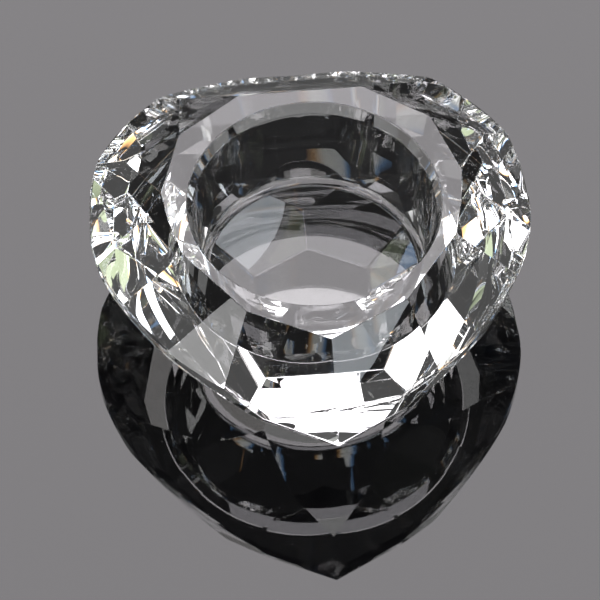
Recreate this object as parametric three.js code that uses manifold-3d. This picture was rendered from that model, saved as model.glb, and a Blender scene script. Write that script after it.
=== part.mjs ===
// Heart tealight holder, ground from one block of clear glass.
// Millimetres and degrees. +Z is up, and the point of the heart looks towards -Y.
// Everything is cut round the axis of the candle cup. The finished block is then
// set down with the middle of its outline over the origin and its base on z = 0.

import * as THREE from 'three';
import { mergeVertices } from 'three/addons/utils/BufferGeometryUtils.js';
import Module from 'manifold-3d';

const wasm = await Module();
wasm.setup();

// Block
const height = 34;
const tipReach = 43.4; // from the cup's axis to the point of the heart
const backReach = 37.9; // from the cup's axis to the middle of the back
const halfWidth = 39.6;
const widestY = 7; // where the heart is widest, behind the cup's axis

// The flanks leave the point straight, then bend into the round sides.
const flankLength = 14;
const flankAngle = 27.7; // away from the X axis, seen from above
const bendAngle = 40;
const bendLength = 3.6; // this and the next four set how full the round curves are
const sideFullnessFront = 22.7;
const sideFullnessBack = 35;
const backFullness = 8.5;
const lobeSwell = 1.1; // lets the two lobes stand a little further back than the middle
const curveSteps = 26;

// The girdle is the narrow upright band at the widest part.
const girdleBottom = 20.9;
const girdleBand = 0.6;

// Candle cup
const mouthRadius = 22.5;
const chamferWidth = 1;
const chamferDepth = 2.3;
const cupDepth = 20;
const cupDraft = 1.4; // how much the bore narrows from the chamfer down to the floor
const floorFillet = 1.5;
const cupSides = 96;
const filletSteps = 4;

// Corners of the flat table, from the point round the right side to the back.
// The left side mirrors them.
const table = {
  point: [0, -29.9],
  front: [14, -22.6],
  shoulder: [24, -9.3],
  side: [25.9, -1.9],
  cheek: [26.7, 4.6],
  lobe: [22.5, 17.2],
  back: [11.1, 25.2],
};

// Crown facets slope from an edge of the table down to the girdle.
// standOff is how far outside the outline the facet passes at the girdle.
const crown = [
  { from: 'point', to: 'front', standOff: 0 },
  { from: 'front', to: 'shoulder', standOff: 0.6 },
  { from: 'shoulder', to: 'side', standOff: 0.6 },
  { from: 'side', to: 'cheek', standOff: 1.6 },
  { from: 'cheek', to: 'lobe', standOff: 2.4 },
  { from: 'lobe', to: 'back', standOff: 3.2 },
];
const backCrownStandOff = 0.8;

// Between the rear ones, steeper facets run down to the girdle from one corner of
// the table, so that the flatter ones end in a point part way down the crown.
// Bearings are seen from above, from the X axis towards the back.
const cornerFacets = [
  { at: 'cheek', bearing: 4, standOff: -0.8 },
  { at: 'lobe', bearing: 40, standOff: -0.8 },
  { at: 'back', bearing: 80, standOff: 0.2 },
];

// Corners of the flat base, from the front round the right side to the back.
const base = {
  front: [6.5, -11.2],
  side: [10.3, 0],
  rear: [10.3, 5.5],
  back: [0, 10.8],
};

// Lower facets rise from an edge of the base at an angle to the table.
const lower = [
  { from: 'front', to: 'side', angle: 36 },
  { from: 'side', to: 'rear', angle: 31 },
  { from: 'rear', to: 'back', angle: 25 },
];
const frontLowerAngle = 29;

// Upper facets of the underside end at the girdle.
const upper = [
  { bearing: -62.3, angle: 52.5 },
  { bearing: -45.5, angle: 50 },
  { bearing: -29.5, angle: 47.5 },
  { bearing: 3, angle: 43.5 },
  { bearing: 34, angle: 43.5 },
  { bearing: 61, angle: 43.5 },
];
const backUpperAngle = 41.5;

const overcut = 1; // how far the cup is cut past the table
const girdleTop = girdleBottom + girdleBand;
const floorHeight = height - cupDepth;
const weldDistance = 1e-4; // corners nearer than this are one corner

// Solids and meshes

function toSolid(geometry) {
  const bare = geometry.clone();
  bare.deleteAttribute('normal');
  bare.deleteAttribute('uv');
  const merged = mergeVertices(bare, weldDistance);
  return new wasm.Manifold(
    new wasm.Mesh({
      numProp: 3,
      vertProperties: new Float32Array(merged.attributes.position.array),
      triVerts: new Uint32Array(merged.index.array),
    }),
  );
}

function toGeometry(solid) {
  const { vertProperties, triVerts, numProp } = solid.getMesh();
  const positions = [];
  for (let i = 0; i < vertProperties.length; i += numProp) {
    positions.push(vertProperties[i], vertProperties[i + 1], vertProperties[i + 2]);
  }
  const geometry = new THREE.BufferGeometry();
  geometry.setAttribute('position', new THREE.Float32BufferAttribute(positions, 3));
  geometry.setIndex(Array.from(triVerts));
  geometry.computeVertexNormals();
  return geometry;
}

function bearingVector(degrees) {
  const angle = THREE.MathUtils.degToRad(degrees);
  return new THREE.Vector2(Math.cos(angle), Math.sin(angle));
}

// The heart's outline at the girdle

function heartOutline() {
  const flank = bearingVector(flankAngle).multiplyScalar(flankLength);
  const flankEnd = new THREE.Vector2(flank.x, flank.y - tipReach);
  const bend = bearingVector(bendAngle).multiplyScalar(bendLength).add(flankEnd);
  const heart = new THREE.Shape();
  heart.moveTo(0, -tipReach);
  heart.lineTo(flankEnd.x, flankEnd.y);
  heart.bezierCurveTo(
    bend.x, bend.y,
    halfWidth, widestY - sideFullnessFront,
    halfWidth, widestY,
  );
  heart.bezierCurveTo(
    halfWidth, widestY + sideFullnessBack,
    backFullness, backReach + lobeSwell,
    0, backReach,
  );
  heart.bezierCurveTo(
    -backFullness, backReach + lobeSwell,
    -halfWidth, widestY + sideFullnessBack,
    -halfWidth, widestY,
  );
  heart.bezierCurveTo(
    -halfWidth, widestY - sideFullnessFront,
    -bend.x, bend.y,
    -flankEnd.x, flankEnd.y,
  );
  heart.lineTo(0, -tipReach);
  return heart;
}

const heart = heartOutline();
const outlinePoints = heart.getPoints(curveSteps);

// How far the outline reaches from the cup's axis along a direction.
function reachAlong(direction) {
  return Math.max(...outlinePoints.map((point) => point.dot(direction)));
}

// Grinding a flat facet takes away everything beyond its plane.

const wheelSize = 4 * Math.max(height, halfWidth, tipReach, backReach);

function grind(solid, point, normal) {
  const wheel = new THREE.BoxGeometry(wheelSize, wheelSize, wheelSize);
  wheel.translate(0, 0, wheelSize / 2);
  const turn = new THREE.Quaternion().setFromUnitVectors(
    new THREE.Vector3(0, 0, 1),
    normal.clone().normalize(),
  );
  wheel.applyQuaternion(turn);
  wheel.translate(point.x, point.y, point.z);
  return solid.subtract(toSolid(wheel));
}

// The direction square to an edge, pointing away from the cup's axis.
function outwardFrom(start, end) {
  const outward = new THREE.Vector2(end.y - start.y, start.x - end.x).normalize();
  return outward.dot(start) < 0 ? outward.negate() : outward;
}

// A crown facet holds a corner of the table and meets the girdle at its top edge.
function grindCrown(solid, corner, outward, standOff) {
  const drop = height - girdleTop;
  const run = reachAlong(outward) + standOff - corner.dot(outward);
  const normal = new THREE.Vector3(outward.x * drop, outward.y * drop, run);
  return grind(solid, new THREE.Vector3(corner.x, corner.y, height), normal);
}

function undersideNormal(outward, angle) {
  const tilt = THREE.MathUtils.degToRad(angle);
  const level = Math.sin(tilt);
  return new THREE.Vector3(outward.x * level, outward.y * level, -Math.cos(tilt));
}

// A lower facet rises from a corner of the base.
function grindLower(solid, corner, outward, angle) {
  const point = new THREE.Vector3(corner.x, corner.y, 0);
  return grind(solid, point, undersideNormal(outward, angle));
}

// An upper facet of the underside ends at the bottom edge of the girdle.
function grindUpper(solid, outward, angle) {
  const reach = reachAlong(outward);
  const point = new THREE.Vector3(outward.x * reach, outward.y * reach, girdleBottom);
  return grind(solid, point, undersideNormal(outward, angle));
}

// The block

function cutBlock() {
  const blank = new THREE.ExtrudeGeometry(heart, {
    depth: height,
    bevelEnabled: false,
    curveSegments: curveSteps,
  });
  let block = toSolid(blank);

  for (const side of [1, -1]) {
    const onSide = ([x, y]) => new THREE.Vector2(side * x, y);

    for (const { from, to, standOff } of crown) {
      const start = onSide(table[from]);
      const outward = outwardFrom(start, onSide(table[to]));
      block = grindCrown(block, start, outward, standOff);
    }
    for (const { at, bearing, standOff } of cornerFacets) {
      const outward = onSide(bearingVector(bearing).toArray());
      block = grindCrown(block, onSide(table[at]), outward, standOff);
    }

    for (const { from, to, angle } of lower) {
      const start = onSide(base[from]);
      block = grindLower(block, start, outwardFrom(start, onSide(base[to])), angle);
    }
    for (const { bearing, angle } of upper) {
      block = grindUpper(block, onSide(bearingVector(bearing).toArray()), angle);
    }
  }

  const ahead = new THREE.Vector2(0, -1);
  const behind = new THREE.Vector2(0, 1);
  block = grindCrown(block, new THREE.Vector2(...table.back), behind, backCrownStandOff);
  block = grindLower(block, new THREE.Vector2(...base.front), ahead, frontLowerAngle);
  block = grindUpper(block, behind, backUpperAngle);
  return block;
}

// The candle cup: a chamfered mouth, a bore with a little draft, a small fillet
// and a flat floor

function cupTool() {
  const boreTop = mouthRadius - chamferWidth;
  const boreBottom = boreTop - cupDraft;
  const floorRadius = boreBottom - floorFillet;
  const filletHeight = floorHeight + floorFillet;
  const profile = [new THREE.Vector2(0, floorHeight)];
  for (let i = 0; i <= filletSteps; i += 1) {
    const turn = (i / filletSteps) * (Math.PI / 2);
    profile.push(
      new THREE.Vector2(
        floorRadius + floorFillet * Math.sin(turn),
        filletHeight - floorFillet * Math.cos(turn),
      ),
    );
  }
  profile.push(
    new THREE.Vector2(boreTop, height - chamferDepth),
    new THREE.Vector2(mouthRadius, height),
    new THREE.Vector2(mouthRadius, height + overcut),
    new THREE.Vector2(0, height + overcut),
  );
  const cup = new THREE.LatheGeometry(profile, cupSides);
  cup.rotateX(Math.PI / 2);
  return toSolid(cup);
}

const crystalFinish = new THREE.MeshStandardMaterial({
  name: 'clear glass',
  color: 0xe8edf0,
  roughness: 0.02,
  metalness: 0,
});

const crystal = new THREE.Mesh(toGeometry(cutBlock().subtract(cupTool())), crystalFinish);
crystal.name = 'crystal_heart';

const group = new THREE.Group();
group.add(crystal);
group.position.y = (tipReach - reachAlong(new THREE.Vector2(0, 1))) / 2;

export default group;
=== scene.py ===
import math

import bmesh
import bpy
from mathutils import Matrix, Vector, geometry


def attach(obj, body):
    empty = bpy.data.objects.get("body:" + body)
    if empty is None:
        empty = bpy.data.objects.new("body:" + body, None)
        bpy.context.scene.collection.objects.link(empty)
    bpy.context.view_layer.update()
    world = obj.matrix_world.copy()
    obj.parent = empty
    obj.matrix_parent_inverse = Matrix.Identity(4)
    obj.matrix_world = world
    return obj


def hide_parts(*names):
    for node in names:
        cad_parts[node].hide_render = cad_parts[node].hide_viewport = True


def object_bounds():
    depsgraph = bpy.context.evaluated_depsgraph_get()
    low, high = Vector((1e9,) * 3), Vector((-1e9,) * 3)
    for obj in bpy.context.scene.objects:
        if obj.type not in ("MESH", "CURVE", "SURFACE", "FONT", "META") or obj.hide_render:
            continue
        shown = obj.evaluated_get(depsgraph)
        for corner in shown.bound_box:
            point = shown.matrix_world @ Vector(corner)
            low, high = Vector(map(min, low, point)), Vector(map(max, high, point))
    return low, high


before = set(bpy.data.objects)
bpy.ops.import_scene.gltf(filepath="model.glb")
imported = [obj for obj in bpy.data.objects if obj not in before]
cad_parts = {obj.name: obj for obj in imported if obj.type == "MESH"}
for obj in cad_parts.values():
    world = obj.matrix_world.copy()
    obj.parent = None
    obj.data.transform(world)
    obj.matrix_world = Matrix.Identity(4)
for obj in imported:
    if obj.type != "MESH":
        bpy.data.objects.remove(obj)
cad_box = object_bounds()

scene = bpy.context.scene
scene.view_settings.view_transform = "Standard"

# The camera stands in front of the point of the heart, a little to its left, and
# looks down into the cup with a long lens. The origin is under the middle of the
# outline, and the cup's axis passes a little behind it.
cup_axis = Vector((0, 0.00246, 0))
camera_bearing = math.radians(-5.83)
camera_elevation = math.radians(53.74)
camera_roll = math.radians(0.28)
camera_distance = 0.819
aim_right = -0.00242
aim_up = 0.00284

towards_camera = Vector((
    math.sin(camera_bearing) * math.cos(camera_elevation),
    -math.cos(camera_bearing) * math.cos(camera_elevation),
    math.sin(camera_elevation),
))
level_right = Vector((math.cos(camera_bearing), math.sin(camera_bearing), 0))
level_up = towards_camera.cross(level_right)
right = level_right * math.cos(camera_roll) + level_up * math.sin(camera_roll)
up = level_up * math.cos(camera_roll) - level_right * math.sin(camera_roll)

camera = bpy.data.objects.new("camera", bpy.data.cameras.new("camera"))
camera.data.lens = 269.94
camera.data.sensor_width = 36
camera.data.clip_start = 0.05
camera.data.clip_end = 20
scene.collection.objects.link(camera)
scene.camera = camera
aim = cup_axis + right * aim_right + up * aim_up
camera_turn = Matrix((right, up, towards_camera)).transposed().to_4x4()
camera.matrix_world = (
    Matrix.Translation(aim + towards_camera * camera_distance) @ camera_turn
)


# The heart is one block of clear lead-free crystal, ground flat facet by flat
# facet all round, with the arrises just broken, and polished. All its sizes are
# in millimetres from the axis of the candle cup, and the point looks towards -Y.
height = 34
girdle_bottom = 20.9
girdle_top = 21.5
tip_reach = 43.4
back_reach = 37.9
half_width = 39.6
widest_y = 7

# The flanks leave the point straight, then bend into the round sides. The fullness
# values say how far each curve follows its tangent, and the two lobes swell a
# little past the middle of the back.
flank_angle = 27.7
flank_length = 14
bend_angle = 40
bend_length = 3.6
front_fullness = 22.7
rear_fullness = 35
back_fullness = 8.5
lobe_swell = 1.1
outline_steps = 40


def level(degrees, length=1):
    angle = math.radians(degrees)
    return Vector((math.cos(angle), math.sin(angle))) * length


tip = Vector((0, -tip_reach))
flank_end = tip + level(flank_angle, flank_length)
flank_bend = flank_end + level(bend_angle, bend_length)
side = Vector((half_width, widest_y))
front_curve = geometry.interpolate_bezier(
    flank_end, flank_bend, side - Vector((0, front_fullness)), side, outline_steps
)
back_curve = geometry.interpolate_bezier(
    side, side + Vector((0, rear_fullness)),
    (back_fullness, back_reach + lobe_swell), (0, back_reach), outline_steps,
)
right_half = front_curve + back_curve[1:]
outline = [tip] + right_half
outline += [Vector((-p.x, p.y)) for p in reversed(right_half[:-1])]


def reach_along(outward):
    return max(p.xy.dot(outward) for p in outline)


# The blank is the outline drawn up to the full height. Grinding a flat facet takes
# away everything beyond its plane.
weld = 1e-4
block = bmesh.new()
bottom = block.faces.new([block.verts.new((p.x, p.y, 0)) for p in outline])
raised = bmesh.ops.extrude_face_region(block, geom=[bottom])["geom"]
raised = [v for v in raised if isinstance(v, bmesh.types.BMVert)]
bmesh.ops.translate(block, verts=raised, vec=(0, 0, height))
bmesh.ops.recalc_face_normals(block, faces=block.faces[:])


def grind(point, normal):
    everything = block.verts[:] + block.edges[:] + block.faces[:]
    cut = bmesh.ops.bisect_plane(
        block, geom=everything, dist=weld, plane_co=point, plane_no=normal,
        clear_outer=True,
    )["geom_cut"]
    rim = [e for e in cut if isinstance(e, bmesh.types.BMEdge) and e.is_boundary]
    if rim:
        bmesh.ops.edgeloop_fill(block, edges=rim)


def outward_from(start, end):
    across = Vector((end.y - start.y, start.x - end.x)).normalized()
    return -across if across.dot(start) < 0 else across


# A crown facet holds a corner of the table and passes outside the outline at the
# girdle by its stand-off.
def grind_crown(corner, outward, stand_off):
    drop = height - girdle_top
    run = reach_along(outward) + stand_off - corner.dot(outward)
    grind((corner.x, corner.y, height), (outward.x * drop, outward.y * drop, run))


# The facets of the underside lie at an angle to the table. The upper ones end at
# the bottom of the girdle.
def grind_under(point, outward, degrees):
    tilt = math.radians(degrees)
    across = outward * math.sin(tilt)
    grind(point, (across.x, across.y, -math.cos(tilt)))


def grind_upper(outward, degrees):
    reach = outward * reach_along(outward)
    grind_under((reach.x, reach.y, girdle_bottom), outward, degrees)


# Corners of the table and the base, from the front round the right side to the
# back, and the facets between them. The left side mirrors the right. A corner facet
# has a corner's number, a bearing and a stand-off, and an upper facet of the
# underside a bearing and an angle.
table = [
    (0, -29.9), (14, -22.6), (24, -9.3), (25.9, -1.9), (26.7, 4.6), (22.5, 17.2),
    (11.1, 25.2),
]
crown_stand_offs = [0, 0.6, 0.6, 1.6, 2.4, 3.2]
back_crown_stand_off = 0.8
corner_facets = [(4, 4, -0.8), (5, 40, -0.8), (6, 80, 0.2)]
base = [(6.5, -11.2), (10.3, 0), (10.3, 5.5), (0, 10.8)]
lower_angles = [36, 31, 25]
front_lower_angle = 29
upper_facets = [
    (-62.3, 52.5), (-45.5, 50), (-29.5, 47.5), (3, 43.5), (34, 43.5), (61, 43.5),
]
back_upper_angle = 41.5

for hand in (1, -1):
    corners = [Vector((hand * x, y)) for x, y in table]
    for start, end, stand_off in zip(corners, corners[1:], crown_stand_offs):
        grind_crown(start, outward_from(start, end), stand_off)
    for number, bearing, stand_off in corner_facets:
        outward = level(bearing)
        grind_crown(corners[number], Vector((hand * outward.x, outward.y)), stand_off)

    feet = [Vector((hand * x, y)) for x, y in base]
    for start, end, angle in zip(feet, feet[1:], lower_angles):
        grind_under((start.x, start.y, 0), outward_from(start, end), angle)
    for bearing, angle in upper_facets:
        outward = level(bearing)
        grind_upper(Vector((hand * outward.x, outward.y)), angle)

ahead = Vector((0, -1))
behind = Vector((0, 1))
grind_crown(Vector(table[-1]), behind, back_crown_stand_off)
grind_under((*base[0], 0), ahead, front_lower_angle)
grind_upper(behind, back_upper_angle)

# Every arris is broken by a hair, which is what catches the light along it, and
# those that meet the base, which take the knocks, by more. The upright band of the
# girdle stays one smooth curve. Edges too short to carry a bevel are closed first.
arris = 0.08
base_arris = 0.32
shortest_edge = 0.45
sliver = 0.02
facet_turn = math.radians(3)
girdle_turn = math.radians(25)
upright_slope = 0.01
on_base = 0.01
above_base = 1
bmesh.ops.remove_doubles(block, verts=block.verts[:], dist=shortest_edge)
bmesh.ops.dissolve_degenerate(block, edges=block.edges[:], dist=sliver)


def is_arris(edge):
    on_girdle = all(abs(f.normal.z) < upright_slope for f in edge.link_faces)
    return edge.calc_face_angle(0) > (girdle_turn if on_girdle else facet_turn)


def break_arrises(edges, offset):
    bmesh.ops.bevel(
        block, geom=edges, offset=offset, offset_type="OFFSET", segments=2,
        profile=0.5, affect="EDGES", material=-1, clamp_overlap=True,
    )


def lowest(edge):
    return min(v.co.z for v in edge.verts)


arrises = [e for e in block.edges if is_arris(e)]
break_arrises([e for e in arrises if lowest(e) < on_base], base_arris)
arrises = [e for e in block.edges if is_arris(e)]
break_arrises([e for e in arrises if lowest(e) > above_base], arris)


# The candle cup is bored after the facets: a steep chamfer at the mouth, a wall
# with a little draft and a flat floor with a small fillet, all polished clear.
mouth_radius = 22.5
chamfer_width = 1
chamfer_depth = 2.3
cup_depth = 20
cup_draft = 1.4
fillet = 1.5
chamfer_round = 0.3
mouth_round = 0.25
mouth_flare = 0.25
overcut = 2
cup_steps = 240
bore_top = mouth_radius - chamfer_width
bore_bottom = bore_top - cup_draft
cup_floor = height - cup_depth

# The cutter flares just above the table, so that rounding its ring there gives the
# mouth a rounded lip.
cutter = bmesh.new()
profile = [
    (0, cup_floor),
    (bore_bottom, cup_floor),
    (bore_top, height - chamfer_depth),
    (mouth_radius, height),
    (mouth_radius + overcut, height + mouth_flare),
    (mouth_radius + overcut, height + overcut),
    (0, height + overcut),
]
chain = [cutter.verts.new((r, 0, z)) for r, z in profile]
for low, high in zip(chain, chain[1:]):
    cutter.edges.new((low, high))
bmesh.ops.spin(
    cutter, geom=cutter.verts[:] + cutter.edges[:], cent=(0, 0, 0), axis=(0, 0, 1),
    angle=math.tau, steps=cup_steps, use_merge=True,
)
bmesh.ops.remove_doubles(cutter, verts=cutter.verts[:], dist=weld)
bmesh.ops.recalc_face_normals(cutter, faces=cutter.faces[:])


def on_ring(vert, radius, z):
    near = 1e-3
    return abs(vert.co.z - z) < near and abs(vert.co.xy.length - radius) < near


def round_ring(radius, z, offset, segments):
    ring = [e for e in cutter.edges if all(on_ring(v, radius, z) for v in e.verts)]
    bmesh.ops.bevel(
        cutter, geom=ring, offset=offset, offset_type="OFFSET", segments=segments,
        profile=0.5, affect="EDGES", material=-1, clamp_overlap=True,
    )


round_ring(bore_bottom, cup_floor, fillet, segments=8)
round_ring(bore_top, height - chamfer_depth, chamfer_round, segments=3)
round_ring(mouth_radius, height, mouth_round, segments=3)

# Both shapes go from the cup's axis to the middle of the heart, and into metres.
axis_behind_middle = 2.46
millimetre = 0.001


def place(shape, name):
    bmesh.ops.translate(shape, verts=shape.verts[:], vec=(0, axis_behind_middle, 0))
    bmesh.ops.scale(shape, verts=shape.verts[:], vec=(millimetre,) * 3)
    mesh = bpy.data.meshes.new(name)
    shape.to_mesh(mesh)
    shape.free()
    made = bpy.data.objects.new(name, mesh)
    scene.collection.objects.link(made)
    return made


heart = place(block, "heart_crystal")
bore = place(cutter, "bore")
boring = heart.modifiers.new("bored cup", "BOOLEAN")
boring.operation = "DIFFERENCE"
boring.solver = "EXACT"
boring.object = bore
depsgraph = bpy.context.evaluated_depsgraph_get()
bored = bpy.data.meshes.new_from_object(heart.evaluated_get(depsgraph))
heart.modifiers.clear()
heart.data = bored
bored.name = "heart_crystal"
bpy.data.objects.remove(bore)
bored.polygons.foreach_set("use_smooth", [True] * len(bored.polygons))
flats = heart.modifiers.new("flat facets", "WEIGHTED_NORMAL")
flats.mode = "FACE_AREA"
flats.weight = 50
flats.keep_sharp = False

# The crystal is clear all through, without a tint.
crystal = bpy.data.materials.new("polished crystal")
crystal.use_nodes = True
nodes = crystal.node_tree.nodes
links = crystal.node_tree.links
glass = nodes["Principled BSDF"]
glass.inputs["Base Color"].default_value = (1, 1, 1, 1)
glass.inputs["IOR"].default_value = 1.52
glass.inputs["Transmission Weight"].default_value = 1

# Hand polishing leaves the big upper facets of the underside a little wavy. The
# other facets, those at the point and the back, and the cup are true.
at_point = nodes.new("ShaderNodeTexCoord")
wave = nodes.new("ShaderNodeTexNoise")
wave.inputs["Scale"].default_value = 35
wave.inputs["Detail"].default_value = 1
where = nodes.new("ShaderNodeSeparateXYZ")
across_cup = nodes.new("ShaderNodeMapping")
across_cup.inputs["Location"].default_value = -cup_axis
across_cup.inputs["Scale"].default_value = (1, 1, 0)
from_axis = nodes.new("ShaderNodeVectorMath")
from_axis.operation = "LENGTH"
links.new(at_point.outputs["Object"], wave.inputs["Vector"])
links.new(at_point.outputs["Object"], where.inputs[0])
links.new(at_point.outputs["Object"], across_cup.inputs["Vector"])
links.new(across_cup.outputs["Vector"], from_axis.inputs[0])

height_of_wave = wave.outputs["Fac"]
for place_on_heart, true_at, wavy_at in [
    (where.outputs["Z"], 0.006, 0.009),  # lower facets
    (where.outputs["Z"], 0.0212, 0.0205),  # crown and table
    (where.outputs["Y"], -0.031, -0.022),  # point
    (where.outputs["Y"], 0.036, 0.026),  # back
    (from_axis.outputs["Value"], 0.0235, 0.026),  # cup
]:
    fade_in = nodes.new("ShaderNodeMapRange")
    fade_in.inputs["From Min"].default_value = true_at
    fade_in.inputs["From Max"].default_value = wavy_at
    faded = nodes.new("ShaderNodeMath")
    faded.operation = "MULTIPLY"
    links.new(place_on_heart, fade_in.inputs["Value"])
    links.new(height_of_wave, faded.inputs[0])
    links.new(fade_in.outputs["Result"], faded.inputs[1])
    height_of_wave = faded.outputs[0]

ripple = nodes.new("ShaderNodeBump")
ripple.inputs["Strength"].default_value = 1
ripple.inputs["Distance"].default_value = 0.0012
links.new(height_of_wave, ripple.inputs["Height"])
links.new(ripple.outputs["Normal"], glass.inputs["Normal"])

# Fine wiping marks dull the polish here and there.
stretch = nodes.new("ShaderNodeMapping")
stretch.inputs["Rotation"].default_value = (0, 0, 0.6)
stretch.inputs["Scale"].default_value = (1, 7, 1)
wipe = nodes.new("ShaderNodeTexNoise")
wipe.inputs["Scale"].default_value = 160
wipe.inputs["Detail"].default_value = 5
wipe.inputs["Roughness"].default_value = 0.65
dull = nodes.new("ShaderNodeMapRange")
dull.inputs["From Min"].default_value = 0.6
dull.inputs["From Max"].default_value = 0.8
dull.inputs["To Min"].default_value = 0
dull.inputs["To Max"].default_value = 0.06
links.new(at_point.outputs["Object"], stretch.inputs["Vector"])
links.new(stretch.outputs["Vector"], wipe.inputs["Vector"])
links.new(wipe.outputs["Fac"], dull.inputs["Value"])
links.new(dull.outputs["Result"], glass.inputs["Roughness"])
heart.data.materials.clear()
heart.data.materials.append(crystal)

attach(heart, "root")
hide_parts("crystal_heart")


# The heart stands on one wide smooth sheet, which mirrors the soft box over it. A
# hair of air is left under the base, so that the glass and the sheet both reflect.
sheet_reach = 3
air_under_base = 0.0001
floor_shape = bmesh.new()
bmesh.ops.create_grid(floor_shape, x_segments=1, y_segments=1, size=sheet_reach)
bmesh.ops.translate(
    floor_shape, verts=floor_shape.verts[:], vec=(0, 0, -air_under_base)
)
floor_mesh = bpy.data.meshes.new("table_top")
floor_shape.to_mesh(floor_mesh)
floor_shape.free()
floor = bpy.data.objects.new("table_top", floor_mesh)
scene.collection.objects.link(floor)

sheet = bpy.data.materials.new("smooth sheet")
sheet.use_nodes = True
surface = sheet.node_tree.nodes["Principled BSDF"]
surface.inputs["Base Color"].default_value = (0.004, 0.004, 0.0045, 1)
surface.inputs["Roughness"].default_value = 0.02
floor.data.materials.append(sheet)


# Soft boxes hang a metre over the sheet. A box's strength is how bright its face
# is, whatever its size.
lamp_height = 1


def soft_box(name, left, right_end, front, back, strength, tint=(1, 1, 1)):
    lamp = bpy.data.lights.new(name, "AREA")
    lamp.shape = "RECTANGLE"
    lamp.size = right_end - left
    lamp.size_y = back - front
    lamp.color = tint
    lamp.energy = strength * math.pi * lamp.size * lamp.size_y
    box = bpy.data.objects.new(name, lamp)
    box.location = ((left + right_end) / 2, (front + back) / 2, lamp_height)
    scene.collection.objects.link(box)
    return box


soft_box("main", -0.2, 0.45, 0.5, 1.15, 5, (1, 0.965, 1))
soft_box("behind", -0.45, 0.6, 1.15, 1.45, 3)
soft_box("far_behind", -0.4, 0.4, 1.5, 2.1, 1.8)
soft_box("beside_right", 0.45, 0.8, 0.55, 1.15, 2.4, (1, 0.97, 0.96))
soft_box("beside_left", -0.42, -0.2, 0.8, 1.15, 2)
soft_box("left", -0.85, -0.5, 0.33, 0.85, 2.6)
soft_box("over_cup", -0.2, 0.42, -0.06, 0.42, 2.8, (1, 0.97, 1.03))
soft_box("front_right", 0.85, 1.505, -1.5, -0.75, 5.5, (0.88, 0.94, 1))


# Other boxes fade out towards two opposite edges, one warm and the other blue, which
# stands in for the colours that glass splits off.
def fading_box(*sizes):
    box = soft_box(*sizes)
    box.data.use_nodes = True
    lamp_nodes = box.data.node_tree.nodes
    lamp_links = box.data.node_tree.links
    place_on_box = lamp_nodes.new("ShaderNodeNewGeometry")
    parts = lamp_nodes.new("ShaderNodeSeparateXYZ")
    fringe = lamp_nodes.new("ShaderNodeValToRGB")
    stops = fringe.color_ramp.elements
    stops[0].color = (0.1, 0.04, 0.01, 1)
    stops[1].color = (0.01, 0.04, 0.1, 1)
    for position, colour in [
        (0.13, (0.75, 0.43, 0.17, 1)),
        (0.3, (1, 1, 0.93, 1)),
        (0.7, (0.95, 0.98, 1, 1)),
        (0.87, (0.2, 0.4, 0.72, 1)),
    ]:
        stops.new(position).color = colour
    lamp_links.new(place_on_box.outputs["Parametric"], parts.inputs[0])
    lamp_links.new(parts.outputs["X"], fringe.inputs["Fac"])
    lamp_links.new(fringe.outputs["Color"], lamp_nodes["Emission"].inputs["Color"])
    return box


fading_box("left_front", -0.8, -0.5, -0.7, -0.2, 3)
fading_box("left_far", -2.5, -1.8, -1.1, -0.45, 6)
fading_box("right_front", 0.1, 0.45, -0.75, -0.2, 3)
fading_box("right_outer", 1.3, 1.8, -0.7, -0.3, 3.5)
fading_box("right_far", 2.1, 3.0, -1.2, -0.4, 3.5)


# More boxes stand upright two metres to each side, low down, and two of them are
# dim and green. They are given as front, back, low and high, then turned and moved
# to their side.
side_distance = 2


def stand_upright(box, hand):
    along, middle_height = box.location.x, box.location.y
    box.location = (hand * side_distance, along, middle_height)
    box.rotation_euler = (math.radians(90), 0, math.radians(90 * hand))


green = (0.85, 1, 0.62)
pale_green = (0.85, 1, 0.65)
stand_upright(soft_box("left_upright", -0.9, -0.345, 0.3, 0.95, 5), -1)
stand_upright(fading_box("left_low", -1.0, -0.5, 0.02, 0.2, 5), -1)
stand_upright(fading_box("left_rear", 1.2, 2.2, 0.1, 0.8, 4), -1)
stand_upright(fading_box("right_upright", -0.8, -0.5, 0.05, 0.9, 4), 1)
stand_upright(fading_box("right_rear", 0.3, 0.7, 0.1, 0.8, 3), 1)
stand_upright(soft_box("right_green", -1.5, -0.85, 0.02, 1, 0.8, green), 1)
stand_upright(soft_box("left_green", -0.3, 0.5, 0.02, 0.4, 0.8, pale_green), -1)

# The walls round them are dim grey, a little lighter low down.
walls = bpy.data.worlds.new("studio walls")
walls.use_nodes = True
wall_nodes = walls.node_tree.nodes
wall_links = walls.node_tree.links
direction = wall_nodes.new("ShaderNodeTexCoord")
split = wall_nodes.new("ShaderNodeSeparateXYZ")
fade = wall_nodes.new("ShaderNodeValToRGB")
fade.color_ramp.elements[0].position = 0.1
fade.color_ramp.elements[0].color = (0.12, 0.12, 0.12, 1)
fade.color_ramp.elements[1].position = 0.55
fade.color_ramp.elements[1].color = (0.07, 0.07, 0.07, 1)
wall_links.new(direction.outputs["Generated"], split.inputs[0])
wall_links.new(split.outputs["Z"], fade.inputs["Fac"])
wall_links.new(fade.outputs["Color"], wall_nodes["Background"].inputs["Color"])
scene.world = walls

# Light turns many times inside the block before it comes out again.
bounces = 24
scene.cycles.max_bounces = bounces
scene.cycles.glossy_bounces = bounces
scene.cycles.transmission_bounces = bounces

low, high = cad_box
